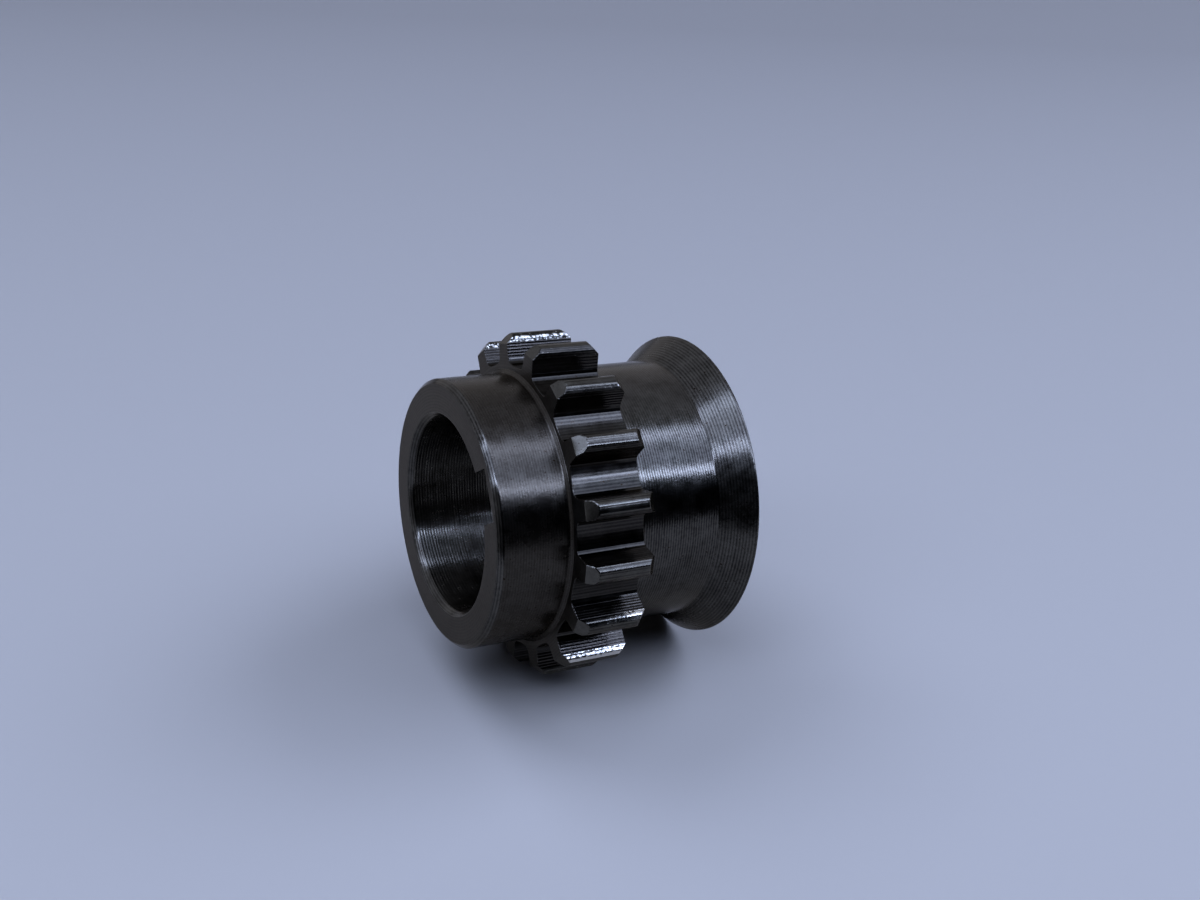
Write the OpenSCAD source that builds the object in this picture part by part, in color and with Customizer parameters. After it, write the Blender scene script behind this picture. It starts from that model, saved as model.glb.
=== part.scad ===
// Crankshaft sprocket for an inverted-tooth timing chain, turned and hobbed from one
// piece of steel: a plain collar, the toothed ring, and a hub that ends in a flared
// flange, bored through for the shaft and slotted for its key.
// Millimetres. X runs along the bore from the collar to the flange, Z is up, and the
// origin is on the bore axis in the middle plane of the teeth (the chain line).

/* [Teeth] */

// Number of teeth
teeth = 17; // [17:1:24]
// Chain pitch
pitch = 9.525; // [9.4:0.025:11]
// Height of a tooth from root to tip
tooth_h = 4.45; // [3.7:0.05:4.8]
// Width of the toothed ring along the axis
tooth_w = 10.7; // [8:0.1:16]
// Width of the land along the top of a tooth
tip_land = 1.5; // [1:0.1:2]
// Depth of the corners cut off at 45 degrees on both sides of the land
tip_corner = 0.6; // [0.4:0.05:0.8]
// Slope of a flank away from the tooth's centre line
flank_a = 6; // [2:0.5:9]
// Fillet at the foot of a flank
root_fillet = 1.1; // [0.6:0.05:1.3]
// Bevel across the tips on the collar side
tip_bevel_front = 1.5; // [0.5:0.1:2]
// Bevel across the tips on the flange side
tip_bevel_back = 1.3; // [0.5:0.1:2]

/* [Collar] */

// Collar diameter
collar_d = 40.3; // [38.6:0.1:41.4]
// Collar length, from its end face to the teeth
collar_len = 11.2; // [6:0.1:18]
// Chamfer on the collar's outer edge
collar_chamfer = 0.75; // [0.2:0.05:1.5]
// Step height of the coned shoulder where the collar meets the teeth
shoulder_h = 0.65; // [0.2:0.05:0.9]
// Length of the coned shoulder
shoulder_len = 0.4; // [0.2:0.1:1]

/* [Hub and flange] */

// Hub diameter
hub_d = 40.3; // [38.6:0.1:41.4]
// Length of the straight hub behind the teeth
hub_len = 13.55; // [8:0.05:24]
// Flange diameter at the rim
flange_d = 47.4; // [43:0.2:51]
// Length of the flare from hub to rim
flare_len = 4.3; // [2:0.1:7]
// Width of the narrow land round the rim
rim_land = 0.4; // [0.2:0.1:2]

/* [Bore and keyway] */

// Bore diameter
bore_d = 29; // [25:0.1:30]
// Chamfer at both ends of the bore
bore_chamfer = 0.75; // [0.2:0.05:1.2]
// Keyway width
key_w = 7.5; // [5:0.1:9]
// Keyway depth beyond the bore wall
key_depth = 3.9; // [2:0.1:4.2]
// Tooth gap that lies over the keyway, counted from the tooth at the top
key_gap = 3; // [1:1:9]

/* [Hidden] */

step_a = 360 / teeth;

// The tips stand outside the circle that touches the sides of the chain's pitch polygon,
// by this share of half a pitch
tip_rise = 0.125;
tip_r = pitch / 2 * (1 / tan(180 / teeth) + tip_rise);
root_r = tip_r - tooth_h;
collar_r = collar_d / 2;
hub_r = hub_d / 2;
bore_r = bore_d / 2;

// Where each part of the outline starts along the axis
ring_x = -tooth_w / 2;
face_x = ring_x - collar_len;
hub_x = tooth_w / 2;
flare_x = hub_x + hub_len;
rim_x = flare_x + flare_len;
end_x = rim_x + rim_land;

// Overlap that makes joined shapes cross where they would only touch
eps = 0.01;
round_fn = 120;

// A tooth points along X. From its shoulder, below the cut corner, the flank runs along
// flank_t at distance flank_d from the axis, on the outward normal flank_n. The fillet
// rounds the corner between that line and the root circle.
flank_n = [sin(flank_a), cos(flank_a)];
flank_t = [cos(flank_a), -sin(flank_a)];
land_end = [tip_r + tip_land / 4, tip_land / 4];
shoulder = [tip_r - tip_corner, tip_land / 2 + tip_corner];
flank_d = shoulder * flank_n;
fillet_d = flank_d + root_fillet;
fillet_r = root_r + root_fillet;
fillet_c = fillet_d * flank_n + sqrt(fillet_r ^ 2 - fillet_d ^ 2) * flank_t;
flank_foot = fillet_c - root_fillet * flank_n;
root_foot = fillet_c * (root_r - 1) / fillet_r;

function flip(p) = [p[0], -p[1]];

module tooth() {
    difference() {
        polygon([
            land_end, shoulder, flank_foot, fillet_c, root_foot,
            flip(root_foot), flip(fillet_c), flip(flank_foot), flip(shoulder), flip(land_end)
        ]);
        translate(fillet_c) circle(r = root_fillet + eps, $fn = round_fn);
        translate(flip(fillet_c)) circle(r = root_fillet + eps, $fn = round_fn);
    }
}

// Turned blank of the toothed ring, with both tip bevels
module ring_blank() {
    rotate_extrude($fn = round_fn)
        polygon([
            [0, ring_x],
            [tip_r - tip_bevel_front, ring_x],
            [tip_r, ring_x + tip_bevel_front],
            [tip_r, hub_x - tip_bevel_back],
            [tip_r - tip_bevel_back, hub_x],
            [0, hub_x]
        ]);
}

module toothed_ring() {
    intersection() {
        ring_blank();
        translate([0, 0, ring_x - 1])
            linear_extrude(tooth_w + 2)
                union() {
                    circle(r = root_r, $fn = round_fn);
                    for (k = [0 : teeth - 1]) rotate(90 + k * step_a) tooth();
                }
    }
}

// Collar, hub and flange as one turned outline: radius, then place along the axis
module turned_body() {
    rotate_extrude($fn = round_fn)
        polygon([
            [0, face_x],
            [collar_r - collar_chamfer, face_x],
            [collar_r, face_x + collar_chamfer],
            [collar_r, ring_x - shoulder_len],
            [collar_r + shoulder_h, ring_x],
            [collar_r + shoulder_h, ring_x + eps],
            [hub_r, hub_x - eps],
            [hub_r, flare_x],
            [flange_d / 2, rim_x],
            [flange_d / 2, end_x],
            [0, end_x]
        ]);
}

module bore() {
    rotate_extrude($fn = round_fn)
        polygon([
            [0, face_x - 1],
            [bore_r + bore_chamfer + 1, face_x - 1],
            [bore_r, face_x + bore_chamfer],
            [bore_r, end_x - bore_chamfer],
            [bore_r + bore_chamfer + 1, end_x + 1],
            [0, end_x + 1]
        ]);
}

module keyway() {
    rotate(90 + (key_gap - 0.5) * step_a)
        translate([0, -key_w / 2, face_x - 1])
            cube([bore_r + key_depth, key_w, end_x - face_x + 2]);
}

// Blued steel, near black
module sprocket() {
    color([0.20, 0.20, 0.21])
        rotate([90, 0, 90])
            difference() {
                union() {
                    turned_body();
                    toothed_ring();
                }
                bore();
                keyway();
            }
}

sprocket();
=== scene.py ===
import math

import bmesh
import bpy
from mathutils import Matrix, Quaternion, Vector


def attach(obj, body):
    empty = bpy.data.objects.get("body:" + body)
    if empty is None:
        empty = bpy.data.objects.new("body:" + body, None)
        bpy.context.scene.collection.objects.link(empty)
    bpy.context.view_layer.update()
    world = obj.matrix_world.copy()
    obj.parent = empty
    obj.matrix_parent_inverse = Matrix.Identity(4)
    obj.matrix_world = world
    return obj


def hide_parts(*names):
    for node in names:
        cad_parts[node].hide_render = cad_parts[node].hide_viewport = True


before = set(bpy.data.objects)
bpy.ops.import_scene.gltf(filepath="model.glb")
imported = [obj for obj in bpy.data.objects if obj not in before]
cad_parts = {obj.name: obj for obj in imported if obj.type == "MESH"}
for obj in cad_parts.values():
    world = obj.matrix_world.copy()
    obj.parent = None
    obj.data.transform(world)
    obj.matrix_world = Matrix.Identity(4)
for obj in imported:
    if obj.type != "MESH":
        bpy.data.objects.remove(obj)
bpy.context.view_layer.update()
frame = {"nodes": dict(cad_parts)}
mm = 0.001
weldDistance = 1e-7  # metres; points closer than this are one point
print("frame loaded:", ", ".join(frame["nodes"]))


def toLinear(hexColour):  # sRGB hex to linear, with full alpha
    parts = [int(hexColour[i:i + 2], 16) / 255 for i in (1, 3, 5)]
    return [c / 12.92 if c <= 0.04045 else ((c + 0.055) / 1.055) ** 2.4 for c in parts] + [1.0]


def addNode(tree, kind, settings=None, links=None):  # settings by property or socket, links by socket
    node = tree.nodes.new("ShaderNode" + kind)
    for key, value in (settings or {}).items():
        if isinstance(key, str) and hasattr(node, key):
            setattr(node, key, value)
        else:
            node.inputs[key].default_value = value
    for key, source in (links or {}).items():
        tree.links.new(source, node.inputs[key])
    return node


# Steel, blued near black after it was cut: a thin dark oxide that mirrors the room weakly but sharply.
# Each cutting tool left its own fine lines, which smear a reflection across them ("spread"). A turning
# tool's feed is about 0.37 mm; its lines and the hob's are drawn a little coarser, at the pitch given
# here, so that single lines still show in the render. Pitch, depth and grit are in millimetres.
finishes = {
    # faced off on the lathe: an even dull grey with a fine grain
    "turnedFaceSteel": {"dark": "#373430", "light": "#4b4741", "rough": 0.33, "spread": 0.5,
                        "pitch": 0.45, "depth": 0.0010, "stray": 0.4, "mottle": 1.9, "grit": 0.0120},
    # turned with a fine cut: a broad satin band of light with stained edges
    "turnedCollarSteel": {"dark": "#302c27", "light": "#423e38", "rough": 0.27, "spread": 0.8,
                          "pitch": 0.42, "depth": 0.0015, "stray": 0.5, "mottle": 1.7, "grit": 0.0090},
    # turned with a sharp tool: bright highlights ruled with lines
    "turnedHubSteel": {"dark": "#272522", "light": "#56534d", "rough": 0.18, "spread": 0.6,
                       "pitch": 0.42, "depth": 0.0030, "stray": 0.3, "mottle": 1.2, "grit": 0.0080},
    # the same tool up the slope: softer highlights, coarser lines
    "turnedFlareSteel": {"dark": "#272522", "light": "#56534d", "rough": 0.25, "spread": 0.6,
                         "pitch": 0.46, "depth": 0.0050, "stray": 0.3, "mottle": 1.0, "grit": 0.0080},
    # bored with a deep feed: the lines throw a ruled band of light across a black wall
    "boredSteel": {"dark": "#141211", "light": "#6d6961", "rough": 0.24, "spread": 1.0,
                   "pitch": 0.45, "depth": 0.0150, "stray": 0.7, "mottle": 0.3, "grit": 0.0005},
    # hobbed along the bottom of a gap: long clean streaks
    "hobbedRootSteel": {"dark": "#211f1d", "light": "#3e3b36", "rough": 0.16, "spread": 0.0,
                        "pitch": 0.50, "depth": 0.0008, "stray": 0.8, "mottle": 0.8, "grit": 0.0010},
    # hobbed up the side of a tooth: scored from end to end
    "hobbedFlankSteel": {"dark": "#211f1d", "light": "#433f3a", "rough": 0.20, "spread": 0.3,
                         "pitch": 0.45, "depth": 0.0150, "stray": 0.8, "mottle": 0.8, "grit": 0.0020},
    # tips cut last: pale facets with a few streaks
    "tippedSteel": {"dark": "#2d2a26", "light": "#59564f", "rough": 0.19, "spread": 0.4,
                    "pitch": 0.45, "depth": 0.0040, "stray": 1.1, "mottle": 0.8, "grit": 0.0060},
    # torn where the hob left the metal: dark and gritty
    "burredSteel": {"dark": "#1c1a18", "light": "#3e3b36", "rough": 0.30, "spread": 0.0,
                    "pitch": 0.35, "depth": 0.0030, "stray": 0.8, "mottle": 1.4, "grit": 0.0350},
}

# What time did to the oxide: stains, pits and patches rubbed down to bare steel, which glint
wear = {
    "fleck": 0.4545, "blotch": 2.381,  # sizes of the fine and the broad stains, mm
    "pit": "#1d140d", "pitRange": (0.64, 0.70),  # the top of the fleck pattern is pitted
    # a fleck plus this reach times the share rubbed off goes from blued to bare over the range
    "bare": "#c9c4ba", "bareReach": 0.75, "bareRange": (0.95, 1.10),
    "roughRange": (-0.03, 0.05),  # blotches are this much smoother or rougher
    "edgeTint": "#e3ddd5",  # seen at a glancing angle
}

streakLength = 25.0  # mm along the lines, before a streak grows deeper or shallower


def toolLines(tree, s):  # height of the lines; they run along the first way of a map in millimetres
    place = addNode(tree, "UVMap", {"uv_map": "lines"})
    split = addNode(tree, "SeparateXYZ", links={0: place.outputs["UV"]})
    across = addNode(tree, "Math", {"operation": "MULTIPLY", 1: 2 * math.pi / s["pitch"]},
                     {0: split.outputs["Y"]})
    ridge = addNode(tree, "Math", {"operation": "SINE"}, {0: across.outputs[0]})
    drawnOut = addNode(tree, "VectorMath", {"operation": "MULTIPLY",
                                            1: (1 / streakLength, 1 / s["pitch"], 1)},
                       {0: place.outputs["UV"]})
    streaks = addNode(tree, "TexNoise", {"Scale": 0.9, "Detail": 2.0, "Roughness": 0.6},
                      {"Vector": drawnOut.outputs[0]})
    uneven = addNode(tree, "MapRange", {"From Min": 0.3, "From Max": 0.7,  # most of the noise lies here
                                        "To Min": -s["stray"], "To Max": s["stray"]},
                     {"Value": streaks.outputs["Fac"]})
    height = addNode(tree, "Math", {"operation": "ADD"}, {0: ridge.outputs[0], 1: uneven.outputs[0]})
    return height.outputs[0]


def wornOxide(tree, s, height, blotch, fleck):  # colour: lines and stains, then pits, then bare patches
    stains = addNode(tree, "Math", {"operation": "ADD"}, {0: blotch, 1: fleck})
    mottle = addNode(tree, "MapRange", {"From Min": 0.7, "From Max": 1.3,  # most of the sum lies here
                                        "To Min": -s["mottle"], "To Max": s["mottle"]},
                     {"Value": stains.outputs[0]})
    both = addNode(tree, "Math", {"operation": "ADD"}, {0: height, 1: mottle.outputs[0]})
    share = addNode(tree, "MapRange", {"From Min": -1.5, "From Max": 1.5}, {"Value": both.outputs[0]})
    tone = addNode(tree, "Mix", {"data_type": "RGBA", 6: toLinear(s["dark"]), 7: toLinear(s["light"])},
                   {0: share.outputs[0]})
    pitFrom, pitTo = wear["pitRange"]
    pits = addNode(tree, "MapRange", {"From Min": pitFrom, "From Max": pitTo}, {"Value": fleck})
    pitted = addNode(tree, "Mix", {"data_type": "RGBA", 7: toLinear(wear["pit"])},
                     {0: pits.outputs[0], 6: tone.outputs[2]})
    rubbed = addNode(tree, "Attribute", {"attribute_name": "rubbed"})
    reach = addNode(tree, "Math", {"operation": "MULTIPLY_ADD", 1: wear["bareReach"]},
                    {0: rubbed.outputs["Fac"], 2: fleck})
    bareFrom, bareTo = wear["bareRange"]
    bareness = addNode(tree, "MapRange", {"From Min": bareFrom, "From Max": bareTo},
                       {"Value": reach.outputs[0]})
    colour = addNode(tree, "Mix", {"data_type": "RGBA", 7: toLinear(wear["bare"])},
                     {0: bareness.outputs[0], 6: pitted.outputs[2]})
    return colour.outputs[2]


def bluedSteel(name):
    s = finishes[name]
    material = bpy.data.materials.new(name)
    material.use_nodes = True
    tree = material.node_tree
    tree.nodes.clear()
    height = toolLines(tree, s)
    spot = addNode(tree, "TexCoord")
    blotch = addNode(tree, "TexNoise", {"Scale": 1 / (wear["blotch"] * mm),
                                        "Detail": 4.0, "Roughness": 0.65},
                     {"Vector": spot.outputs["Object"]})
    fleck = addNode(tree, "TexNoise", {"Scale": 1 / (wear["fleck"] * mm),
                                       "Detail": 3.0, "Roughness": 0.6},
                    {"Vector": spot.outputs["Object"]})
    colour = wornOxide(tree, s, height, blotch.outputs["Fac"], fleck.outputs["Fac"])
    smooth, coarse = wear["roughRange"]
    rough = addNode(tree, "MapRange", {"From Min": 0.35, "From Max": 0.7,
                                       "To Min": s["rough"] + smooth, "To Max": s["rough"] + coarse},
                    {"Value": blotch.outputs["Fac"]})
    gritty = addNode(tree, "Bump", {"Strength": 1.0, "Distance": s["grit"] * mm},
                     {"Height": fleck.outputs["Fac"]})
    lined = addNode(tree, "Bump", {"Strength": 1.0, "Distance": s["depth"] * mm},
                    {"Height": height, "Normal": gritty.outputs[0]})
    lineWay = addNode(tree, "Tangent", {"direction_type": "UV_MAP", "uv_map": "lines"})
    steel = addNode(tree, "BsdfPrincipled", {"Metallic": 1.0, "Specular Tint": toLinear(wear["edgeTint"]),
                                             "Anisotropic": s["spread"],
                                             "Anisotropic Rotation": 0.25},  # spread across the lines
                    {"Base Color": colour, "Roughness": rough.outputs[0],
                     "Normal": lined.outputs[0], "Tangent": lineWay.outputs[0]})
    addNode(tree, "OutputMaterial", links={0: steel.outputs[0]})
    return material


steels = {name: bluedSteel(name) for name in finishes}
steelNames = sorted(steels)
print("finishes:", len(steels))


def newMesh():  # with the map that the lines follow and the share of oxide rubbed off each face
    mesh = bmesh.new()
    return mesh, mesh.loops.layers.uv.new("lines"), mesh.faces.layers.float.new("rubbed")


def finishMesh(name, mesh, sharpAngle):
    bmesh.ops.remove_doubles(mesh, verts=mesh.verts, dist=weldDistance)
    bmesh.ops.dissolve_degenerate(mesh, edges=mesh.edges, dist=weldDistance)
    bmesh.ops.recalc_face_normals(mesh, faces=mesh.faces)
    for face in mesh.faces:
        face.smooth = True
    for edge in mesh.edges:
        edge.smooth = len(edge.link_faces) == 2 and edge.calc_face_angle() < math.radians(sharpAngle)
    data = bpy.data.meshes.new(name)
    mesh.to_mesh(data)
    mesh.free()
    for steelName in steelNames:
        data.materials.append(steels[steelName])
    piece = bpy.data.objects.new(name, data)
    bpy.context.scene.collection.objects.link(piece)
    weighted = piece.modifiers.new("evenShading", "WEIGHTED_NORMAL")
    weighted.keep_sharp = True
    return piece


# Collar, shoulder, hub, flare and bore, turned in one setting, with the keyway cut through; mm, degrees
turned = {
    "faceX": -16.55, "ringX": -5.35, "hubX": 5.35,  # along the bore
    "flareX": 18.9, "rimX": 23.2, "endX": 23.6,
    "collarR": 20.15, "collarChamfer": 0.75, "shoulderR": 20.8, "shoulderLen": 0.4,
    "hubR": 20.15, "hubTuck": 1.0,  # the hub starts this far inside the toothed ring
    "flangeR": 23.7, "boreR": 14.5, "boreChamfer": 0.75,
    "keyHalf": 3.75, "keyFloor": 18.4, "keyAngle": 90 + 2.5 * 360 / 17,
    "keyReach": 60,  # the keyway lies within this angle of its middle
    "edgeBreak": 0.14, "breakShare": 0.4,  # a broken edge takes at most this share of a side
    "steps": 360, "sharpAngle": 30,
}


def softened(points):  # each corner of a closed (r, x, finish) outline becomes a small arc
    made = []
    for i, (r, x, finish) in enumerate(points):
        here = Vector((r, x))
        before = Vector(points[i - 1][:2]) - here
        after = Vector(points[(i + 1) % len(points)][:2]) - here
        most = turned["breakShare"]
        cut = min(turned["edgeBreak"], before.length * most, after.length * most)
        start = here + before.normalized() * cut
        end = here + after.normalized() * cut
        for t in (0.0, 0.33, 0.67, 1.0):
            p = start.lerp(here, t).lerp(here.lerp(end, t), t)
            made.append((p.x, p.y, finish if t > 0.5 else points[i - 1][2]))
    return made


def turnedOutline():  # each point's finish is that of the stretch after it
    s = turned
    return softened([
        (s["boreR"] + s["boreChamfer"], s["faceX"], "turnedFaceSteel"),
        (s["collarR"] - s["collarChamfer"], s["faceX"], "turnedHubSteel"),
        (s["collarR"], s["faceX"] + s["collarChamfer"], "turnedCollarSteel"),
        (s["collarR"], s["ringX"] - s["shoulderLen"], "turnedCollarSteel"),
        (s["shoulderR"], s["ringX"], "turnedCollarSteel"),
        (s["hubR"], s["hubX"] - s["hubTuck"], "turnedHubSteel"),
        (s["hubR"], s["flareX"], "turnedFlareSteel"),
        (s["flangeR"], s["rimX"], "turnedFlareSteel"),
        (s["flangeR"], s["endX"], "turnedFaceSteel"),
        (s["boreR"] + s["boreChamfer"], s["endX"], "turnedFaceSteel"),
        (s["boreR"], s["endX"] - s["boreChamfer"], "boredSteel"),
        (s["boreR"], s["faceX"] + s["boreChamfer"], "turnedHubSteel"),
    ])


def turnedAngles():  # even steps, and the keyway's own corners exactly
    s = turned
    angles = [2 * math.pi * i / s["steps"] for i in range(s["steps"])]
    corners = [math.degrees(math.atan2(s["keyHalf"], s["keyFloor"]))]
    for r in (s["boreR"], s["boreR"] + s["boreChamfer"]):
        corners.append(math.degrees(math.asin(s["keyHalf"] / r)))
    for a in corners:
        angles += [math.radians(s["keyAngle"] + side * a) for side in (-1, 1)]
    return sorted(angles)


def keySlot(angle):  # distance from the axis to the keyway's wall or floor, 0 away from it
    s = turned
    away = abs((math.degrees(angle) - s["keyAngle"] + 180) % 360 - 180)
    if away >= s["keyReach"]:
        return 0.0
    away = math.radians(away)
    wall = s["keyHalf"] / math.sin(away) if away else math.inf
    return min(s["keyFloor"] / math.cos(away), wall)


def buildTurnedBody():
    s = turned
    outline = turnedOutline()
    angles = turnedAngles()
    walked = [0.0]
    for a, b in zip(outline, outline[1:] + outline[:1]):
        walked.append(walked[-1] + math.hypot(b[0] - a[0], b[1] - a[1]))
    mesh, lines, rubbed = newMesh()
    grid = []
    for a in angles:
        slot = keySlot(a)
        ring = []
        for r, x, finish in outline:
            if r < s["keyFloor"]:  # the bore's side gives way to the keyway
                r = max(r, slot)
            ring.append(mesh.verts.new((x * mm, r * math.cos(a) * mm, r * math.sin(a) * mm)))
        grid.append(ring)
    count, rows = len(angles), len(outline)
    for i in range(count):
        here, beside = grid[i], grid[(i + 1) % count]
        nextAngle = angles[i + 1] if i + 1 < count else angles[0] + 2 * math.pi
        turns = (angles[i], angles[i], nextAngle, nextAngle)
        for j in range(rows):
            after = (j + 1) % rows
            face = mesh.faces.new([here[j], here[after], beside[after], beside[j]])
            face.material_index = steelNames.index(outline[j][2])
            face[rubbed] = 0.0
            steps = (walked[j], walked[j + 1], walked[j + 1], walked[j])
            for loop, a, v in zip(face.loops, turns, steps):
                loop[lines].uv = (a * s["collarR"], v)
    return finishMesh("turnedBody", mesh, s["sharpAngle"])


# Teeth hobbed across the ring; the hob's leaving side is torn and dark, and some tips are rubbed bright.
# Near is the side of a tooth towards the tooth before it, far the side towards the next; mm, degrees
teeth = {
    "count": 17, "firstAngle": 90.0, "tipR": 26.07, "rootR": 21.62, "halfWidth": 5.35,
    "land": 1.5, "crown": 16.0, "corner": 0.6, "flankSlope": 6.0, "fillet": 1.1, "hollow": 0.12,
    "bevelFront": 1.5, "bevelBack": 1.3, "innerR": 19.4,
    "edgeBreak": 0.09, "landRound": 0.12, "shoulderRound": 0.22,
    "landShare": 0.9,  # of the crowned half land, up to its rounded edge
    "flankStop": 0.7,  # share of the flank where one more point shares out its faces
    "landSteps": 4, "roundSteps": 5, "filletFlats": 3, "rootSteps": 4,  # steps along the outline
    "bays": 6, "columns": 8,  # faces along a tooth between its broken edges, and across its ends
    "endMapR": 20, "bevelMap": 0.02,  # end faces: where the lines are to scale, and how few a bevel has
    "sharpAngle": 14,
    "finishes": {"land": "tippedSteel", "nearCorner": "tippedSteel", "nearShoulder": "tippedSteel",
                 "farCorner": "burredSteel", "farShoulder": "burredSteel",
                 "flank": "hobbedFlankSteel", "root": "hobbedRootSteel"},
    # how far the oxide is rubbed off at the front and the back end of a facet, by tooth from the top one
    "rubbed": {
        "nearCorner": {5: (0.2, 0.9), 6: (1.0, 1.0), 7: (0.5, 0.5), 10: (0.6, 0.9), 12: (1.0, 0.4)},
        "nearShoulder": {5: (0.0, 1.0), 6: (0.6, 0.8), 12: (0.8, 0.2)},
        "land": {9: (0.5, 0.3)},
        "farCorner": {15: (0.3, 0.3), 16: (0.45, 0.50), 1: (0.0, 0.6), 11: (0.6, 0.6)},
        "farShoulder": {15: (0.60, 0.65), 16: (0.66, 0.66), 0: (0.35, 0.40), 11: (0.5, 0.8)},
    },
}


def halfTooth():  # (w, u, part) from the tip to the middle of the gap; w along the tooth, u across it
    s = teeth
    slope = math.radians(s["flankSlope"])
    normal = Vector((math.sin(slope), math.cos(slope)))
    along = Vector((math.cos(slope), -math.sin(slope)))
    crown = math.radians(s["crown"])
    crownR = s["land"] / 2 / math.sin(crown)
    landEnd = Vector((s["tipR"] - crownR * (1 - math.cos(crown)), s["land"] / 2))
    shoulder = Vector((s["tipR"] - s["corner"], s["land"] / 2 + s["corner"]))
    away = shoulder.dot(normal) + s["fillet"]
    reach = s["rootR"] + s["fillet"]
    filletC = normal * away + along * math.sqrt(reach ** 2 - away ** 2)
    foot = filletC - normal * s["fillet"]
    points = []
    for i in range(s["landSteps"] + 1):  # the land is slightly crowned
        a = crown * s["landShare"] * i / s["landSteps"]
        points.append((s["tipR"] - crownR * (1 - math.cos(a)), crownR * math.sin(a), "land"))
    landStop = Vector(points[-1][:2])
    rounds = ((landStop, landEnd, shoulder, s["landRound"], "land", "land"),
              (landEnd, shoulder, foot, s["shoulderRound"], "corner", "shoulder"))
    for before, corner, after, cut, firstPart, part in rounds:  # the land's edge and the shoulder
        cut = min(cut, (before - corner).length)
        start = corner + (before - corner).normalized() * cut
        end = corner + (after - corner).normalized() * cut
        for i in range(s["roundSteps"] + 1):
            t = i / s["roundSteps"]
            p = start.lerp(corner, t).lerp(corner.lerp(end, t), t)
            points.append((p.x, p.y, part if i else firstPart))
    top = Vector(points[-1][:2])
    stops = [s["flankStop"], 1.0]
    for depth in (s["bevelBack"], s["bevelFront"]):  # the flank has a point where each bevel ends
        stops.append((top.length - s["tipR"] + depth) / (top.length - foot.length))
    for i, t in enumerate(sorted(stops)):
        p = top.lerp(foot, t)
        points.append((p.x, p.y, "flank" if i else "shoulder"))
    start = math.atan2(foot.y - filletC.y, foot.x - filletC.x)
    end = math.atan2(filletC.y, filletC.x) + math.pi
    turn = (end - start + math.pi) % (2 * math.pi) - math.pi
    for i in range(1, s["filletFlats"] + 1):  # the hob left flats here instead of an even curve
        a = start + turn * i / s["filletFlats"]
        w, u = filletC.x + s["fillet"] * math.cos(a), filletC.y + s["fillet"] * math.sin(a)
        points.append((w, u, "root"))
    rootStart = math.atan2(points[-1][1], points[-1][0])
    for i in range(1, s["rootSteps"] + 1):  # and a slightly hollow root
        t = i / s["rootSteps"]
        a = rootStart + (math.pi / s["count"] - rootStart) * t
        r = s["rootR"] - s["hollow"] * t * (2 - t)
        points.append((r * math.cos(a), r * math.sin(a), "root"))
    return points


def frontX(r):  # the ring's front face, bevelled towards the tips
    return -teeth["halfWidth"] + max(0.0, r - (teeth["tipR"] - teeth["bevelFront"]))


def backX(r):
    return teeth["halfWidth"] - max(0.0, r - (teeth["tipR"] - teeth["bevelBack"]))


def toothRows(half):  # each point of the outline carried along the tooth, with both end edges broken
    s = teeth
    rows = []
    for i, (w, u, part) in enumerate(half):
        before = Vector(half[i - 1][:2]) if i else Vector((w, -half[1][1]))
        after = Vector(half[min(i + 1, len(half) - 1)][:2])
        d = (after - before).normalized()
        outward = Vector((-d.y, d.x)) if -d.y * w + d.x * u > 0 else Vector((d.y, -d.x))
        wIn, uIn = w - outward.x * s["edgeBreak"], u - outward.y * s["edgeBreak"]
        r, rIn = math.hypot(w, u), math.hypot(wIn, uIn)
        x0, x1 = frontX(r) + s["edgeBreak"], backX(r) - s["edgeBreak"]
        straight = [(x0 + (x1 - x0) * t / s["bays"], w, u) for t in range(s["bays"] + 1)]
        rows.append([(frontX(rIn), wIn, uIn)] + straight + [(backX(rIn), wIn, uIn)])
    return rows


def toothSide(half, rows, k, side):  # faces as (places, map, finish, share rubbed off)
    s = teeth
    walked = [0.0]
    for a, b in zip(half, half[1:]):
        walked.append(walked[-1] + math.hypot(b[0] - a[0], b[1] - a[1]))
    spans = len(rows[0]) - 1
    faces = []
    for i in range(len(half) - 1):
        part = half[i + 1][2]
        if part in ("corner", "shoulder"):
            part = ("near" if side < 0 else "far") + part.title()
        first, last = s["rubbed"].get(part, {}).get(k, (0.0, 0.0))
        for j in range(spans):
            corners = [rows[i][j], rows[i][j + 1], rows[i + 1][j + 1], rows[i + 1][j]]
            steps = (walked[i], walked[i], walked[i + 1], walked[i + 1])
            places = [(x, w, side * u) for x, w, u in corners]
            uvs = [(c[0], v) for c, v in zip(corners, steps)]
            faces.append((places, uvs, s["finishes"][part], first + (last - first) * j / (spans - 1)))
    return faces


def toothEnds(rows):  # both end faces of a tooth, in strips from the tip inwards
    s = teeth
    middle = math.pi / s["count"]
    inner = (s["innerR"] * math.cos(middle), s["innerR"] * math.sin(middle))
    faces = []
    for end, atX in ((0, frontX), (-1, backX)):
        edge = [row[end][1:] for row in rows] + [inner]
        strips = [[(w, u * (2 * c / s["columns"] - 1)) for c in range(s["columns"] + 1)] for w, u in edge]
        for a, b in zip(strips, strips[1:]):
            for c in range(s["columns"]):
                corners = [a[c], a[c + 1], b[c + 1], b[c]]
                radii = [math.hypot(w, u) for w, u in corners]
                bevelled = abs(atX(sum(radii) / 4)) < s["halfWidth"]
                scale = s["bevelMap"] if bevelled else 1
                places = [(atX(r), w, u) for r, (w, u) in zip(radii, corners)]
                uvs = [(s["endMapR"] * math.atan2(u, w), r * scale) for r, (w, u) in zip(radii, corners)]
                faces.append((places, uvs, "tippedSteel" if bevelled else "turnedFaceSteel", 0.0))
    return faces


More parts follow.
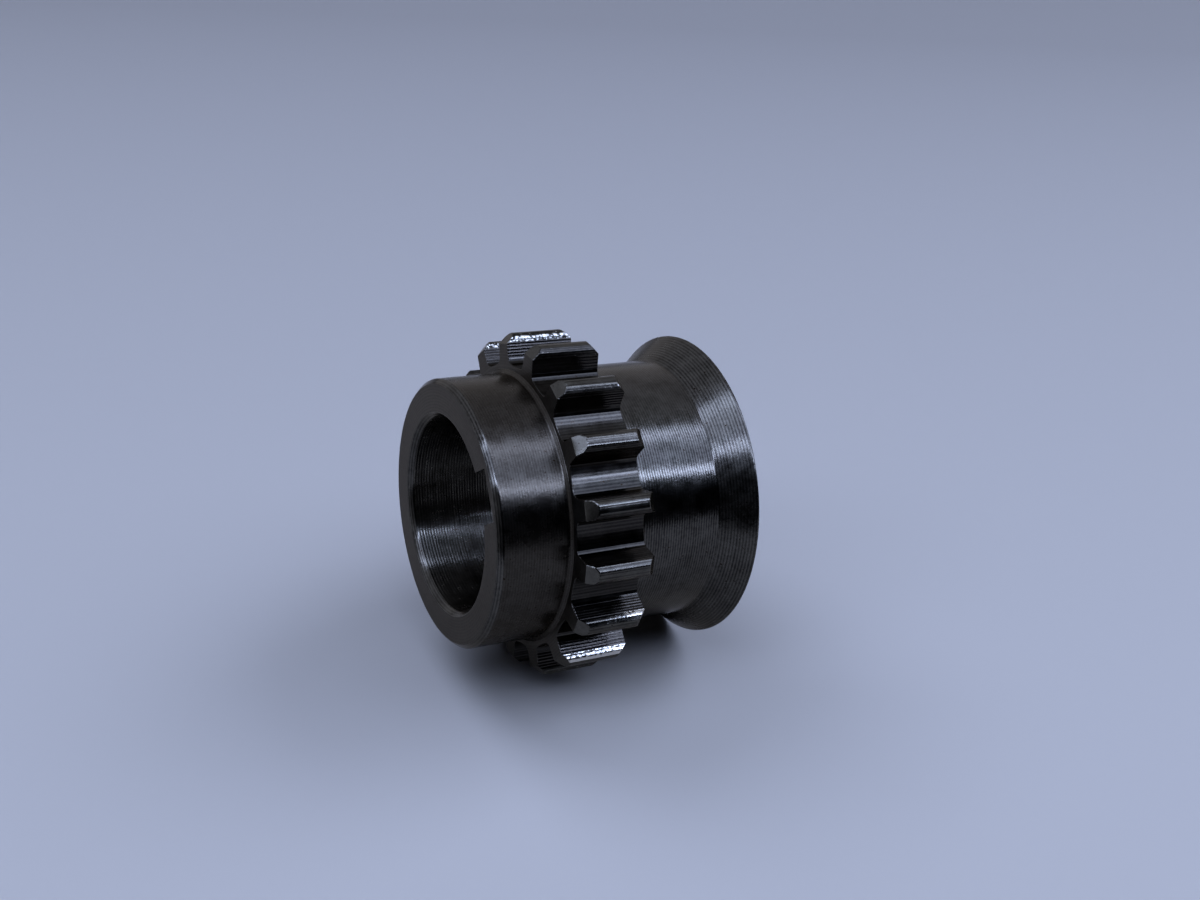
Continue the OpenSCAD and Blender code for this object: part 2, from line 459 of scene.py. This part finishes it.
def buildToothRing():
    s = teeth
    half = halfTooth()
    rows = toothRows(half)
    mesh, lines, rubbed = newMesh()
    for k in range(s["count"]):
        turn = 2 * math.pi * k / s["count"] + math.radians(s["firstAngle"])
        cosT, sinT = math.cos(turn), math.sin(turn)
        faces = toothSide(half, rows, k, -1) + toothSide(half, rows, k, 1) + toothEnds(rows)
        for places, uvs, finish, worn in faces:
            corners = []
            for x, w, u in places:
                y, z = w * cosT - u * sinT, w * sinT + u * cosT
                corners.append(mesh.verts.new((x * mm, y * mm, z * mm)))
            face = mesh.faces.new(corners)
            face.material_index = steelNames.index(finish)
            face[rubbed] = worn
            for loop, uv in zip(face.loops, uvs):
                loop[lines].uv = uv
    return finishMesh("toothRing", mesh, s["sharpAngle"])


body = buildTurnedBody()
ring = buildToothRing()
for piece in (body, ring):
    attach(piece, "root")
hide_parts("sprocket")
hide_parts("sprocket")
print("pieces:", len(body.data.polygons), "faces turned,", len(ring.data.polygons), "faces toothed")


# Pale paper under one long overhead panel with a bright tube along each side, in a room that is dark
# in front; metres, degrees and watts, apart from what is marked mm
studio = {
    # the paper's near and far colours are painted light and shade: lighter in front, darker towards the
    # back where less lamp light falls
    "paperLitNear": "#b4ada4", "paperShadedFar": "#908a83", "paperShadeFade": (-0.06, 0.45), "paperRough": 0.95,
    "floorReach": 4.0, "mirrorEdge": -0.175,
    "touch": (4.05, -25.69), "rest": (23.6, -23.7),  # where teeth and rim meet the floor, (x, z) mm
    "panelHeight": 0.9, "panelMiddle": (-0.10, -0.4435), "panelTurn": -13.5, "panelSize": (3.4, 0.585),
    "panelPower": 19.0, "tubeWidth": 0.14, "tubePowers": (14.5, 35.0), "lightColour": "#bfd2ff",
    "fillPlaces": ((-0.46, 0.79, 1.1), (0.92, -0.02, 1.1)), "fillSize": 0.8, "fillPower": 13.0,
    "backRoom": "#b7bfd6", "frontRoom": "#05060a", "roomFade": (-0.5, -0.1), "roomPower": 1.05,
    "cameraPlace": (-91.3, -170.2, 104.0),  # mm
    "cameraAlong": (0.4551, 0.7755, -0.4384), "cameraRoll": 7.7,
    "lens": 42.82, "sensor": 36.0,  # mm
    "clip": (0.01, 50.0),
}


def paleMattePaper():  # uncoated paper: no shine, with painted shade that makes it a little darker towards the back and lighter in front, where the lamps reach more
    s = studio
    paper = bpy.data.materials.new("paleMattePaper")
    paper.use_nodes = True
    tree = paper.node_tree
    spot = addNode(tree, "TexCoord")
    split = addNode(tree, "SeparateXYZ", links={0: spot.outputs["Object"]})
    fadeFrom, fadeTo = s["paperShadeFade"]
    paintedShade = addNode(tree, "MapRange", {"From Min": fadeFrom, "From Max": fadeTo},
                   {"Value": split.outputs["Y"]})
    tone = addNode(tree, "Mix", {"data_type": "RGBA",
                                 6: toLinear(s["paperLitNear"]), 7: toLinear(s["paperShadedFar"])},
                   {0: paintedShade.outputs[0]})
    surface = tree.nodes["Principled BSDF"]
    surface.inputs["Roughness"].default_value = s["paperRough"]
    tree.links.new(tone.outputs[2], surface.inputs["Base Color"])
    return paper


def buildFloor():
    s = studio
    (x0, z0), (x1, z1) = s["touch"], s["rest"]
    slope = math.atan2(z1 - z0, x1 - x0)
    facing = math.atan2(s["cameraAlong"][1], s["cameraAlong"][0]) - math.pi / 2
    tilt = Matrix.Rotation(-slope, 4, "Y") @ Matrix.Rotation(facing, 4, "Z")
    stand = Matrix.Translation((x0 * mm, 0, z0 * mm)) @ tilt
    paper = paleMattePaper()
    reach, edge = s["floorReach"], s["mirrorEdge"]
    for name, near, far in (("floor", edge, reach), ("floorFront", -reach, edge)):
        corners = [(-reach, near, 0), (reach, near, 0), (reach, far, 0), (-reach, far, 0)]
        data = bpy.data.meshes.new(name)
        data.from_pydata(corners, [], [(0, 1, 2, 3)])
        data.materials.append(paper)
        floor = bpy.data.objects.new(name, data)
        floor.matrix_world = stand
        floor.visible_glossy = name == "floor"  # the steel mirrors the dark room in front, not more paper
        bpy.context.scene.collection.objects.link(floor)


def addLamp(name, place, turn, size, power):
    light = bpy.data.lights.new(name, "AREA")
    light.shape = "RECTANGLE"
    light.size, light.size_y = size
    light.energy = power
    light.color = toLinear(studio["lightColour"])[:3]
    lamp = bpy.data.objects.new(name, light)
    lamp.location = place
    lamp.rotation_euler = turn
    bpy.context.scene.collection.objects.link(lamp)
    return lamp


def buildLights():
    s = studio
    turn = math.radians(s["panelTurn"])
    (x, y), (length, width) = s["panelMiddle"], s["panelSize"]
    edge = width / 2 + s["tubeWidth"] / 2
    backPower, frontPower = s["tubePowers"]
    overhead = (("overheadPanel", 0.0, width, s["panelPower"]),
                ("backTube", edge, s["tubeWidth"], backPower),
                ("frontTube", -edge, s["tubeWidth"], frontPower))
    for name, offset, across, power in overhead:
        place = (x - offset * math.sin(turn), y + offset * math.cos(turn), s["panelHeight"])
        lamp = addLamp(name, place, (0, 0, turn), (length, across), power)
        lamp.visible_diffuse = name == "overheadPanel"  # the tubes only draw bright lines on the steel
    for place in s["fillPlaces"]:  # soft light from both sides, which only the paper takes up
        aim = Vector(place).to_track_quat("Z", "Y").to_euler()
        fill = addLamp("sideFill", place, aim, (s["fillSize"], s["fillSize"]), s["fillPower"])
        fill.visible_glossy = False


def buildRoom():
    s = studio
    world = bpy.data.worlds.new("room")
    world.use_nodes = True
    tree = world.node_tree
    around = addNode(tree, "TexCoord")
    split = addNode(tree, "SeparateXYZ", links={0: around.outputs["Generated"]})
    fadeFrom, fadeTo = s["roomFade"]
    back = addNode(tree, "MapRange", {"From Min": fadeFrom, "From Max": fadeTo},
                   {"Value": split.outputs["Y"]})
    tone = addNode(tree, "Mix", {"data_type": "RGBA",
                                 6: toLinear(s["frontRoom"]), 7: toLinear(s["backRoom"])},
                   {0: back.outputs[0]})
    seen = addNode(tree, "LightPath")
    shown = addNode(tree, "Mix", {"data_type": "RGBA", 7: toLinear(s["backRoom"])},
                    {0: seen.outputs["Is Camera Ray"], 6: tone.outputs[2]})  # looks pale on every side
    backdrop = tree.nodes["Background"]
    backdrop.inputs["Strength"].default_value = s["roomPower"]
    tree.links.new(shown.outputs[2], backdrop.inputs["Color"])
    world.cycles_visibility.diffuse = False  # the lamps alone light the paper, so its shadows stay deep
    bpy.context.scene.world = world


def buildCamera():
    s = studio
    lens = bpy.data.cameras.new("camera")
    lens.lens, lens.sensor_width = s["lens"], s["sensor"]
    lens.clip_start, lens.clip_end = s["clip"]
    camera = bpy.data.objects.new("camera", lens)
    camera.location = Vector(s["cameraPlace"]) * mm
    camera.rotation_mode = "QUATERNION"
    aim = Vector(s["cameraAlong"]).to_track_quat("-Z", "Y")
    camera.rotation_quaternion = aim @ Quaternion((0, 0, 1), math.radians(s["cameraRoll"]))
    bpy.context.scene.collection.objects.link(camera)
    bpy.context.scene.camera = camera


buildFloor()
buildLights()
buildRoom()
buildCamera()
bpy.context.scene.view_settings.view_transform = "Standard"
print("studio ready")
